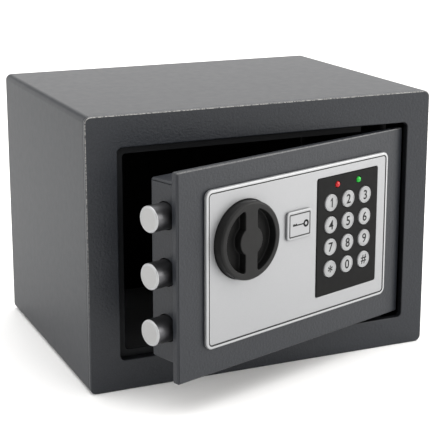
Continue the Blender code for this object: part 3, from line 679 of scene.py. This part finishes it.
def make_door_box():
    """Folded tray behind the door plate, with the fold's seam near the top of its free end."""
    low, high = extent("door_box")
    wall, flange, bend, edge = 1.5 * MM, 9.5 * MM, 1.2 * MM, 0.3 * MM
    room, pin_hole = 0.6 * MM, 2.85 * MM
    seam_drop, seam_width, seam_depth = 1.4 * MM, 0.5 * MM, 0.8 * MM
    front, rear = low.y, high.y
    profile = [(edge, front), (0, front + edge)] + list(reversed(round_back(0, rear, bend, 5)))
    profile += [(flange - edge, rear), (flange, rear - edge), (flange, rear - wall + edge),
                (flange - edge, rear - wall), (wall + edge, rear - wall), (wall, rear - wall - edge),
                (wall, front + edge), (wall - edge, front)]
    solid = Solid()
    solid.wall(rectangle_of("door_box", DOOR, 1.6 * MM), profile, closed=True)
    cutters = []
    sideways = DOOR.inverted() @ INWARD_X
    for name in ("lower", "middle", "upper"):
        spot = middle(f"bolt_{name}")
        bolt_radius = (extent(f"bolt_{name}")[1].z - extent(f"bolt_{name}")[0].z) / 2
        hole = slug(circle(bolt_radius + room, (-spot.y, spot.z), 48), low.x - 2 * MM, low.x + 3 * MM)
        hole.transform(sideways)
        cutters.append(hole)
    seam_z = high.z - seam_drop
    seam = rounded(-rear - 1 * MM, -front + 1 * MM, seam_z - seam_width / 2, seam_z + seam_width / 2,
                   0.1 * MM, 1)
    groove = slug(seam, low.x - 1 * MM, low.x + seam_depth)
    groove.transform(sideways)
    cutters.append(groove)
    upright = DOOR.inverted() @ UPRIGHT
    pin = middle("hinge_pin_upper")
    for z in (high.z, low.z):
        hole = slug(circle(pin_hole, (pin.x, pin.y), 32), -z - 3 * MM, -z + 3 * MM)
        hole.transform(upright)
        cutters.append(hole)
    for centre in screw_centres():
        cutters.append(slug(circle(SCREW_HOLE, centre, 20), rear - 3 * MM, rear + 1 * MM))
    mesh = drilled(solid.mesh("tray"), cutters)
    place(mesh, "door_tray", DOOR, [PAINT["charcoal_paint"]], "door", "door_box", "charcoal_paint")


def make_hinge_pins():
    for side in ("upper", "lower"):
        low, high = extent(f"hinge_pin_{side}", UPRIGHT)
        radius, chamfer = (high.x - low.x) / 2, 0.5 * MM
        profile = [(0, low.y), (radius - chamfer, low.y), (radius, low.y + chamfer),
                   (radius, high.y - chamfer), (radius - chamfer, high.y), (0, high.y)]
        mesh = lathe(profile, centre_of(f"hinge_pin_{side}", UPRIGHT), 32)
        # hinge pins painted near-black as painted shade in the hinge gap
        place(mesh, f"pin_{side}", UPRIGHT, [PAINT["inside_shade_paint"]], "door",
              f"hinge_pin_{side}", "black_steel")


# ---------------------------------------------------------------- fascia, keypad and key cover


def groove(border, width, front, depth, far):
    """Profile of a groove that starts border in from the edge and comes up again to the depth far."""
    slope = 0.05 * MM
    return [(border, front), (border + slope, front + depth), (border + width, front + depth),
            (border + width + slope, far)]


def make_fascia():
    """Silver plate: raised round border, black groove inside it, level field with three openings; the
    border's front rounding and the step past the groove are painted lighter as painted highlight.
    """
    low, high = extent("fascia_panel")
    front, field = low.y, low.y + 0.1 * MM
    solid = Solid()
    steps = 5
    profile = round_back(0, high.y, 0.3 * MM, 2) + round_front(0, front, 0.7 * MM, steps)
    start = len(profile)
    border, width, depth, step = 1.7 * MM, 0.85 * MM, 0.3 * MM, 0.2 * MM
    profile += groove(border, width, front, depth, field + 0.1 * MM)
    profile += [(border + width + step, field)]
    # rounding and the step past the groove take the lighter silver: painted highlight
    paints = {start - 2: 2, start - 1: 2, start: 1, start + 1: 1, start + 2: 1, start + 3: 2}
    back, near = solid.wall(rectangle_of("fascia_panel", DOOR, 4.5 * MM, 12), profile, paints)
    knob_low, knob_high = extent("knob")
    pad_low, pad_high = extent("keypad_panel")
    room = 0.35 * MM
    holes = [
        circle((knob_high.x - knob_low.x) / 2 + 0.5 * MM, centre_of("knob"), 96),
        circle(LOCK_HOLE, centre_of("lock_plug"), 48),
        rounded(pad_low.x - room, pad_high.x + room, pad_low.z - room, pad_high.z + room, 1.5 * MM),
    ]
    fronts, backs = [near], [back]
    for hole in holes:
        rim, end = solid.wall(hole, rim_front(0, field, 0.3 * MM, 3) + [(0, high.y)])
        fronts.append(rim)
        backs.append(end)
    solid.cap(fronts)
    solid.cap(backs)
    finishes = [PAINT["satin_silver"], PAINT["groove_black"], PAINT["silver_highlight"]]
    place(solid.mesh("fascia"), "fascia_plate", DOOR, finishes, "door", "fascia_panel", "satin_silver")


KEY_NAMES = ("1", "2", "3", "4", "5", "6", "7", "8", "9", "star", "0", "hash")
LEGENDS = {"star": ("*", 4.6 * MM), "hash": ("#", 5.9 * MM)}  # what the key says, and how tall
DIGIT_HEIGHT = 5.9 * MM
BOLDNESS = 0.013  # how far the strokes are thickened, in units of the letter size


def make_keypad():
    low, high = extent("keypad_panel")
    key_low, key_high = extent("key_1")
    key_hole = (key_high.x - key_low.x) / 2 + 0.35 * MM
    holes = [circle(key_hole, centre_of(f"key_{name}"), 40) for name in KEY_NAMES]
    holes += [circle(2.2 * MM, centre_of(f"led_{colour}"), 24) for colour in ("red", "green")]
    mesh = plate(rectangle_of("keypad_panel", DOOR, 1.2 * MM), high.y, low.y, 0.3 * MM, holes, 3)
    place(mesh, "keypad_plate", DOOR, [PAINT["keypad_plastic"]], "door", "keypad_panel", "black_plastic")


def make_led(colour):
    low, high = extent(f"led_{colour}")
    radius = (high.x - low.x) / 2
    rise = 0.62 * radius
    dome = [(0, low.y)]
    dome += [(x * radius / rise, low.y + y) for x, y in arc((0, rise), rise, 270, 360, 6)[1:]]
    dome += [(radius, high.y), (0, high.y)]
    mesh = lathe(dome, centre_of(f"led_{colour}"), 24)
    place(mesh, f"lamp_{colour}", DOOR, [PAINT[f"{colour}_lens"]], "door", f"led_{colour}", f"{colour}_lens")


def legend_mesh(text, height):
    """Flat lettering centred on the origin and standing upright, facing the front."""
    curve = bpy.data.curves.new("legend", "FONT")
    curve.body = text
    curve.resolution_u = 6
    curve.offset = BOLDNESS
    drawing = bpy.data.objects.new("legend", curve)
    bpy.context.scene.collection.objects.link(drawing)
    mesh = bpy.data.meshes.new_from_object(drawing.evaluated_get(bpy.context.evaluated_depsgraph_get()))
    bpy.data.objects.remove(drawing)
    xs, ys = [v.co.x for v in mesh.vertices], [v.co.y for v in mesh.vertices]
    scale = height / (max(ys) - min(ys))
    mesh.transform(Matrix.Translation((-(max(xs) + min(xs)) / 2, -(max(ys) + min(ys)) / 2, 0)))
    mesh.transform(Matrix.Scale(scale, 4))
    work = bmesh.new()
    work.from_mesh(mesh)
    bmesh.ops.remove_doubles(work, verts=work.verts, dist=1e-7)
    grown = bmesh.ops.extrude_face_region(work, geom=work.faces[:])
    raised = [item for item in grown["geom"] if isinstance(item, bmesh.types.BMVert)]
    bmesh.ops.translate(work, verts=raised, vec=(0, 0, 2 * LIFT))
    bmesh.ops.recalc_face_normals(work, faces=work.faces)
    work.transform(Matrix(((1, 0, 0), (0, 0, -1), (0, 1, 0))).to_4x4())
    work.to_mesh(mesh)
    work.free()
    return mesh


def make_key(name):
    """Round key: rim, hairline groove and a disc with its printed legend."""
    low, high = extent(f"key_{name}")
    radius = (high.x - low.x) / 2
    front, disc = low.y, low.y + 0.06 * MM
    body = f"key_{name}"
    line = radius - 0.85 * MM
    bottom = disc + 0.12 * MM
    profile = [(0, disc), (line - 0.2 * MM, disc), (line - 0.12 * MM, bottom),
               (line + 0.08 * MM, bottom), (line + 0.18 * MM, front)]
    profile += [(radius - inset, depth) for inset, depth in reversed(round_front(0, front, 0.35 * MM, 5))]
    profile += [(radius, high.y), (0, high.y)]
    centre = centre_of(body)
    mesh = lathe(profile, centre, 64)
    place(mesh, f"cap_{name}", DOOR, [PAINT["key_silver"]], body, body, "key_silver")
    text, height = LEGENDS.get(name, (name, DIGIT_HEIGHT))
    if name == "1":
        printed = printed_shape([drawn(shifted(figure_one(height), centre))], disc)
    else:
        printed = legend_mesh(text, height)
        printed.transform(Matrix.Translation((centre[0], disc + LIFT, centre[1])))
    place(printed, f"legend_{name}", DOOR, [PAINT["printed_black"]], body)


def figure_one(height):
    """A plain 1 with a flag, centred on the origin, as an outline."""
    half, flag, stroke = height / 2, 0.33 * height, 0.155 * height
    right = flag / 2
    return [(right - stroke, -half), (right, -half), (right, half), (right - 0.8 * stroke, half),
            (right - flag, half - 0.72 * flag), (right - flag, half - 1.15 * flag),
            (right - stroke, half - 0.62 * flag)]


def printed_shape(outlines, depth):
    """A printed mark: a thin flat shape, the outlines after the first being its holes."""
    solid = Solid()
    rings = [solid.wall(outline, [(0, depth + LIFT), (0, depth - LIFT)]) for outline in outlines]
    solid.cap([first for first, last in rings])
    solid.cap([last for first, last in rings])
    return solid.mesh("mark")


def make_lock_cover():
    """Snap-on cover of the emergency lock: border, black hairline and a key printed on its field."""
    low, high = extent("lock_cover")
    front = low.y
    solid = Solid()
    profile = round_back(0, high.y, 0.3 * MM, 2) + round_front(0, front, 0.6 * MM, 5)
    start = len(profile)
    profile += groove(1.6 * MM, 0.75 * MM, front, 0.2 * MM, front)
    paints = {start: 1, start + 1: 1, start + 2: 1}
    back, near = solid.wall(rectangle_of("lock_cover", DOOR, 2.4 * MM), profile, paints)
    solid.cap([near])
    solid.cap([back])
    finishes = [PAINT["satin_silver"], PAINT["groove_black"]]
    place(solid.mesh("cover"), "key_cover", DOOR, finishes, "lock_cover", "lock_cover", "satin_silver")

    x, z = centre_of("lock_cover")
    bow, bow_hole, bow_x = 2.3 * MM, 1.0 * MM, 5.2 * MM
    half, tip, tooth = 0.38 * MM, -5.9 * MM, 0.75 * MM
    ring = [circle(bow, (x + bow_x, z), 40), circle(bow_hole, (x + bow_x, z), 32)]
    place(printed_shape(ring, front), "key_mark_bow", DOOR, [PAINT["printed_black"]], "lock_cover")
    shaft = [(tip, -half), (bow_x - bow + 0.2 * MM, -half), (bow_x - bow + 0.2 * MM, half)]
    for number in range(3):
        right = tip + (3.4 - 1.35 * number) * MM
        shaft += [(right, half), (right - 0.25 * MM, half + tooth), (right - 0.75 * MM, half + tooth)]
    shaft += [(tip, half)]
    place(printed_shape([drawn(shifted(shaft, (x, z)))], front), "key_mark_shaft", DOOR,
          [PAINT["printed_black"]], "lock_cover")


def make_key_lock():
    """Barrel and plug behind the cover, with the plug's keyway."""
    low, high = extent("lock_barrel")
    centre = centre_of("lock_barrel")
    outer, bore = (high.x - low.x) / 2, 5.6 * MM
    mesh = plate(circle(outer, centre, 48), high.y, low.y, 0.4 * MM, [circle(bore, centre, 48)], 3)
    place(mesh, "lock_sleeve", DOOR, [PAINT["zinc_steel"]], "door", "lock_barrel", "zinc_steel")
    low, high = extent("lock_plug")
    radius = (high.x - low.x) / 2
    solid = Solid()
    back, front = solid.wall(circle(radius, centre, 48), [(0, high.y)] + round_front(0, low.y, 0.4 * MM, 3))
    x, z = centre
    half_width, half_height, bottom = 0.7 * MM, 3.4 * MM, 10 * MM
    keyway = rounded(x - half_width, x + half_width, z - half_height, z + half_height, 0.3 * MM, 3)
    rim, floor = solid.wall(keyway, [(0, low.y), (0, bottom)])
    solid.cap([front, rim])
    solid.cap([floor])
    solid.cap([back])
    place(solid.mesh("plug"), "lock_cylinder", DOOR, [PAINT["brass"]], "lock_plug", "lock_plug", "brass")


# ---------------------------------------------------------------- knob and bolts


def pocket_points(rim, half, boss):
    """The left finger pocket round the origin: rim arc, upright grip and the bite of its round boss."""
    corner, throat = 1.4 * MM, 0.9 * MM
    corner_x, throat_x = -half - corner, -half - throat
    corner_z = math.sqrt((rim - corner) ** 2 - corner_x**2)
    throat_z = math.sqrt((boss + throat) ** 2 - throat_x**2)
    rim_angle = math.degrees(math.atan2(corner_z, corner_x))
    boss_angle = math.degrees(math.atan2(throat_z, throat_x))
    points = arc((0, 0), rim, rim_angle, 360 - rim_angle, 40)
    points += arc((corner_x, -corner_z), corner, 360 - rim_angle, 360, 6)[1:]
    points += arc((throat_x, -throat_z), throat, 0, 180 - boss_angle, 5)
    points += arc((0, 0), boss, 360 - boss_angle, boss_angle, 20)[1:-1]
    points += arc((throat_x, throat_z), throat, boss_angle - 180, 0, 5)
    points += arc((corner_x, corner_z), corner, 0, rim_angle, 6)[:-1]
    return points


def make_knob():
    low, high = extent("knob")
    centre = centre_of("knob")
    front, floor, edge = low.y, low.y + 5.4 * MM, 0.5 * MM
    pocket_rim, half_grip, boss = 19.3 * MM, 4.7 * MM, 8.7 * MM
    solid = Solid()
    profile = round_back(0, high.y, 0.4 * MM, 2) + round_front(0, front, 1.5 * MM, 8)
    back, near = solid.wall(circle((high.x - low.x) / 2, centre, 120), profile)
    left = pocket_points(pocket_rim, half_grip, boss)
    rims = [near]
    for points in (left, turned_over(left)):
        pocket = drawn(shifted(points, centre))
        # pocket walls and floors painted darker as painted shade
        rim, end = solid.wall(pocket, rim_front(0, front, edge) + floor_fillet(0, floor, edge), {4: 1})
        solid.cap([end], 1)
        rims.append(rim)
    solid.cap(rims)
    solid.cap([back])
    place(solid.mesh("knob"), "turn_knob", DOOR, [PAINT["knob_plastic"], PAINT["pocket_shade_plastic"]], "knob",
          "knob", "black_plastic")


def make_bolts():
    """Round bolts: satin sides painted darker as painted shade, a chamfer painted lighter as painted
    highlight and a faced end with a slight lip.
    """
    for name in ("lower", "middle", "upper"):
        node = f"bolt_{name}"
        low, high = extent(node, INWARD_X)
        radius, chamfer = (high.z - low.z) / 2, 0.9 * MM
        face = low.y + 0.06 * MM
        profile = [(0, face), (radius - 1.5 * MM, face), (radius - 1.3 * MM, low.y)]
        profile += [(radius - inset, depth) for inset, depth in reversed(round_front(0, low.y, chamfer, 5))]
        profile += [(radius, high.y), (0, high.y)]
        # chamfer painted lighter as painted highlight, side painted darker as painted shade
        paints = {i: 2 for i in range(2, len(profile) - 3)}
        paints[len(profile) - 3] = 1
        mesh = lathe(profile, centre_of(node, INWARD_X), 72, paints)
        finishes = [PAINT["bright_steel"], PAINT["steel_side_shade"], PAINT["silver_highlight"]]
        place(mesh, f"round_{node}", INWARD_X, finishes, "bolts", node, "bright_steel")


# ---------------------------------------------------------------- inside of the door


def make_inner_cover():
    low, high = extent("inner_cover", REAR)
    window_low, window_high = extent("battery_tray", REAR)
    rim = 1.5 * MM
    holes = [circle(SCREW_HOLE, centre, 24) for centre in screw_centres(REAR)]
    holes.append(rounded(window_low.x + rim, window_high.x - rim, window_low.z + rim, window_high.z - rim,
                         1.5 * MM))
    holes.append(circle(3.9 * MM, centre_of("reset_button", REAR), 32))
    mesh = plate(rectangle_of("inner_cover", REAR, 2 * MM), high.y, low.y, 0.25 * MM, holes, 3)
    place(mesh, "back_cover", REAR, [PAINT["black_steel"]], "door", "inner_cover", "black_steel")


def make_screw(number):
    """Pan-head screw with a cross recess."""
    node = f"cover_screw_{number}"
    low, high = extent(node, REAR)
    centre = centre_of(node, REAR)
    head, shank, crown = (high.x - low.x) / 2, 1.5 * MM, low.y + 1.6 * MM
    rim, rise = crown - 0.4 * MM, 1.2 * MM
    solid = Solid()
    profile = [(head - shank, high.y), (head - shank, crown), (0.1 * MM, crown), (0, crown - 0.2 * MM)]
    for degrees in (0, 18, 36, 52, 66):
        angle = math.radians(degrees)
        profile.append((head * (1 - math.cos(angle)), rim - rise * math.sin(angle)))
    end, near = solid.wall(circle(head, centre, 32), profile)
    arm, half = 1.15 * MM, 0.32 * MM
    cross = [(arm, -half), (arm, half), (half, half), (half, arm), (-half, arm), (-half, half),
             (-arm, half), (-arm, -half), (-half, -half), (-half, -arm), (half, -arm), (half, -half)]
    top = profile[-1][1]
    mouth, floor = solid.wall(drawn(shifted(cross, centre)), [(0, top), (0.12 * MM, top + 1.0 * MM)])
    solid.cap([near, mouth])
    solid.cap([floor])
    solid.cap([end])
    place(solid.mesh("screw"), f"pan_screw_{number}", REAR, [PAINT["zinc_steel"]], "door", node, "zinc_steel")


def make_battery_lid():
    low, high = extent("battery_lid", REAR)
    thickness, inset, width, half_height = 1.6 * MM, 5 * MM, 2 * MM, 9 * MM
    face = high.y - thickness
    outline = rectangle_of("battery_lid", REAR, 2.2 * MM)
    place(plate(outline, high.y, face, 0.5 * MM), "lid", REAR, [PAINT["black_plastic"]], "battery_lid",
          "battery_lid", "black_plastic")
    x, z = high.x - inset, centre_of("battery_lid", REAR)[1]
    grip = rounded(x, x + width, z - half_height, z + half_height, 0.9 * MM)
    place(plate(grip, face + 0.2 * MM, low.y, 0.5 * MM), "lid_grip", REAR, [PAINT["black_plastic"]],
          "battery_lid")


def make_reset_button():
    low, high = extent("reset_button", REAR)
    radius = (high.x - low.x) / 2
    profile = [(0, low.y + 0.15 * MM), (radius - 1.2 * MM, low.y + 0.1 * MM)]
    profile += [(radius - inset, depth) for inset, depth in reversed(round_front(0, low.y, 0.5 * MM, 4))]
    profile += [(radius, high.y), (0, high.y)]
    mesh = lathe(profile, centre_of("reset_button", REAR), 32)
    place(mesh, "code_button", REAR, [PAINT["red_plastic"]], "reset_button", "reset_button", "red_plastic")


def make_cell(number):
    """AA cell: sleeve with a copper-coloured end band, shoulder and button."""
    node = f"battery_cell_{number}"
    axes = INWARD_X if number % 2 == 0 else DOOR @ Matrix(((0, -1, 0), (1, 0, 0), (0, 0, 1))).to_4x4()
    low, high = extent(node, axes)
    radius, button, band = (high.z - low.z) / 2, 2.0 * MM, 12 * MM
    shoulder = low.y + button
    profile = [(0, low.y), (2.3 * MM, low.y), (2.6 * MM, low.y + 0.3 * MM), (2.6 * MM, shoulder),
               (radius - 0.9 * MM, shoulder + 0.1 * MM), (radius - 0.3 * MM, shoulder + 0.15 * MM),
               (radius, shoulder + 0.6 * MM), (radius, shoulder + band), (radius, high.y - 0.5 * MM),
               (radius - 0.5 * MM, high.y), (0, high.y)]
    paints = {0: 2, 1: 2, 2: 2, 3: 2, 4: 1, 5: 1, 6: 1, 9: 2}
    mesh = lathe(profile, centre_of(node, axes), 40, paints)
    finishes = [PAINT["cell_wrap"], PAINT["cell_band"], PAINT["zinc_steel"]]
    place(mesh, f"aa_{number}", axes, finishes, "door", node, "cell_wrap")


# ---------------------------------------------------------------- CAD pieces that stay

KEPT = {
    # door stop painted near-black as painted shade in the recess
    "recess_shade_paint": ["door_stop"],
    # hinge brackets painted near-black as painted shade
    "inside_shade_paint": ["hinge_bracket_upper", "hinge_bracket_lower"],
    "zinc_steel": ["lock_nut", "lock_cam", "knob_shaft", "crank_arm", "bolt_carriage", "carriage_guide_upper",
                   "carriage_guide_lower", "solenoid_coil", "solenoid_bracket"],
    "bright_steel": ["solenoid_plunger"],
    "brass": ["shaft_bush"],
    "circuit_green": ["circuit_board"],
    "black_plastic": ["battery_tray"],
}


def finish_kept_nodes():
    for finish, nodes in KEPT.items():
        for node in nodes:
            mesh = frame["nodes"][node].data
            mesh.materials.clear()
            mesh.materials.append(PAINT[finish])


# ---------------------------------------------------------------- stage

WORLD_STRENGTH = 1.77
OVERHEAD_POWER = 36  # watts
KEY_POWER = 8

# The camera as fitted to the photo: metres, degrees, millimetres and a share of the picture's width.
CAMERA_PLACE = (-0.33417, -0.76997, 0.30574)
CAMERA_HEADING = 23.69
CAMERA_PITCH = -13.65
CAMERA_LENS = 107.61
CAMERA_SHIFT = -0.0814


def make_stage():
    floor_mesh = bpy.data.meshes.new("studio_floor")
    work = bmesh.new()
    bmesh.ops.create_grid(work, x_segments=1, y_segments=1, size=30)
    work.to_mesh(floor_mesh)
    work.free()
    floor = bpy.data.objects.new("studio_floor", floor_mesh)
    floor.location.z = -0.1 * MM
    bpy.context.scene.collection.objects.link(floor)
    pale = Finish("pale_floor", (0.82, 0.82, 0.82), 0.6, specular_ior_level=0.2)
    pale.colour(pale.mottle(0.4, 2, (0.81, 0.81, 0.81), (0.83, 0.83, 0.83)))
    floor_mesh.materials.append(pale.material)


def make_world():
    world = bpy.data.worlds.new("studio")
    world.use_nodes = True
    world.node_tree.nodes["Background"].inputs["Color"].default_value = (1, 0.992, 0.980, 1)
    world.node_tree.nodes["Background"].inputs["Strength"].default_value = WORLD_STRENGTH
    bpy.context.scene.world = world


def dark_card(name, place, target, size):
    """A matt black flag that keeps light off the faces turned towards it."""
    mesh = bpy.data.meshes.new(name)
    work = bmesh.new()
    bmesh.ops.create_grid(work, x_segments=1, y_segments=1, size=0.5)
    bmesh.ops.scale(work, vec=(size[0], size[1], 1), verts=work.verts)
    work.to_mesh(mesh)
    work.free()
    card = bpy.data.objects.new(name, mesh)
    card.location = place
    card.rotation_euler = (Vector(target) - Vector(place)).to_track_quat("-Z", "Y").to_euler()
    bpy.context.scene.collection.objects.link(card)
    mesh.materials.append(Finish("black_card", (0.01, 0.01, 0.01), 0.9).material)


def softbox(name, place, target, size, power, colour=(1, 1, 1)):
    light = bpy.data.lights.new(name, "AREA")
    light.color = colour
    light.shape = "RECTANGLE"
    light.size, light.size_y = size
    light.energy = power
    obj = bpy.data.objects.new(name, light)
    obj.location = place
    obj.rotation_euler = (Vector(target) - Vector(place)).to_track_quat("-Z", "Y").to_euler()
    bpy.context.scene.collection.objects.link(obj)
    return obj


def make_lights():
    softbox("overhead", (0, 0, 2.4), (0, 0, 0), (3, 3), OVERHEAD_POWER)
    softbox("right_key", (0.94, -0.55, 0.45), (0.0, -0.1, 0.09), (0.7, 0.6), KEY_POWER, (1, 0.98, 0.955))
    dark_card("camera_flag", (-1.0, -2.2, 1.1), (0, 0, 0.1), (2.4, 1.6))
    dark_card("rear_flag", (-0.62, 2.1, 1.2), (0, 0, 0.1), (1.3, 0.7))


def make_camera():
    data = bpy.data.cameras.new("camera")
    data.lens = CAMERA_LENS
    data.sensor_width = 36
    data.shift_y = CAMERA_SHIFT
    data.clip_start, data.clip_end = 0.01, 100
    camera = bpy.data.objects.new("camera", data)
    camera.location = CAMERA_PLACE
    camera.rotation_euler = (math.radians(90 + CAMERA_PITCH), 0, -math.radians(CAMERA_HEADING))
    bpy.context.scene.collection.objects.link(camera)
    bpy.context.scene.camera = camera


def build():
    make_camera()
    make_shell()
    make_front_frame()
    make_rear_panel()
    make_floor_mat()
    make_door_plate()
    make_door_box()
    make_hinge_pins()
    make_fascia()
    make_keypad()
    for colour in ("red", "green"):
        make_led(colour)
    for name in KEY_NAMES:
        make_key(name)
    make_lock_cover()
    make_key_lock()
    make_knob()
    make_bolts()
    make_inner_cover()
    for number in range(1, 5):
        make_screw(number)
        make_cell(number)
    make_battery_lid()
    make_reset_button()
    finish_kept_nodes()
    make_stage()
    make_world()
    make_lights()
    bpy.context.scene.view_settings.view_transform = "Standard"


build()
